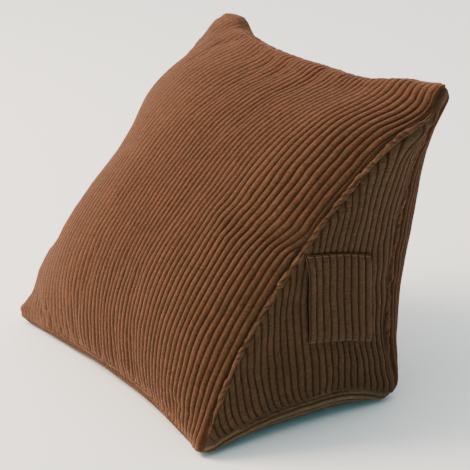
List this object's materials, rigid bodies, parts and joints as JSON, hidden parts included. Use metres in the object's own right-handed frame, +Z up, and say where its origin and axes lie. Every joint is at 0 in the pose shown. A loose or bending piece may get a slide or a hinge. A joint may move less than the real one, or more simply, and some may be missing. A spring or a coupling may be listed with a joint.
{
  "type": "wedge backrest pillow",
  "caption": "Filled triangular backrest pillow in ribbed velvet, with a sloping front, drawn-in seams, blunt ears and a patch pocket on its right side.",
  "frame": {"origin": "on the floor under the middle of the pillow's box", "axes": "+Z up, +X across the pillow to the side with the pocket, +Y from the sloping front to the back"},
  "size_m": [0.4498, 0.3221, 0.3399],
  "materials": {
    "ribbed_velvet": "reddish brown corduroy, soft nap over raised ribs",
    "pocket_cloth": "the same corduroy, stitched on as a patch"
  },
  "bodies": {
    "root": {"cushion": "ribbed_velvet", "pocket": "pocket_cloth"}
  },
  "joints": []
}
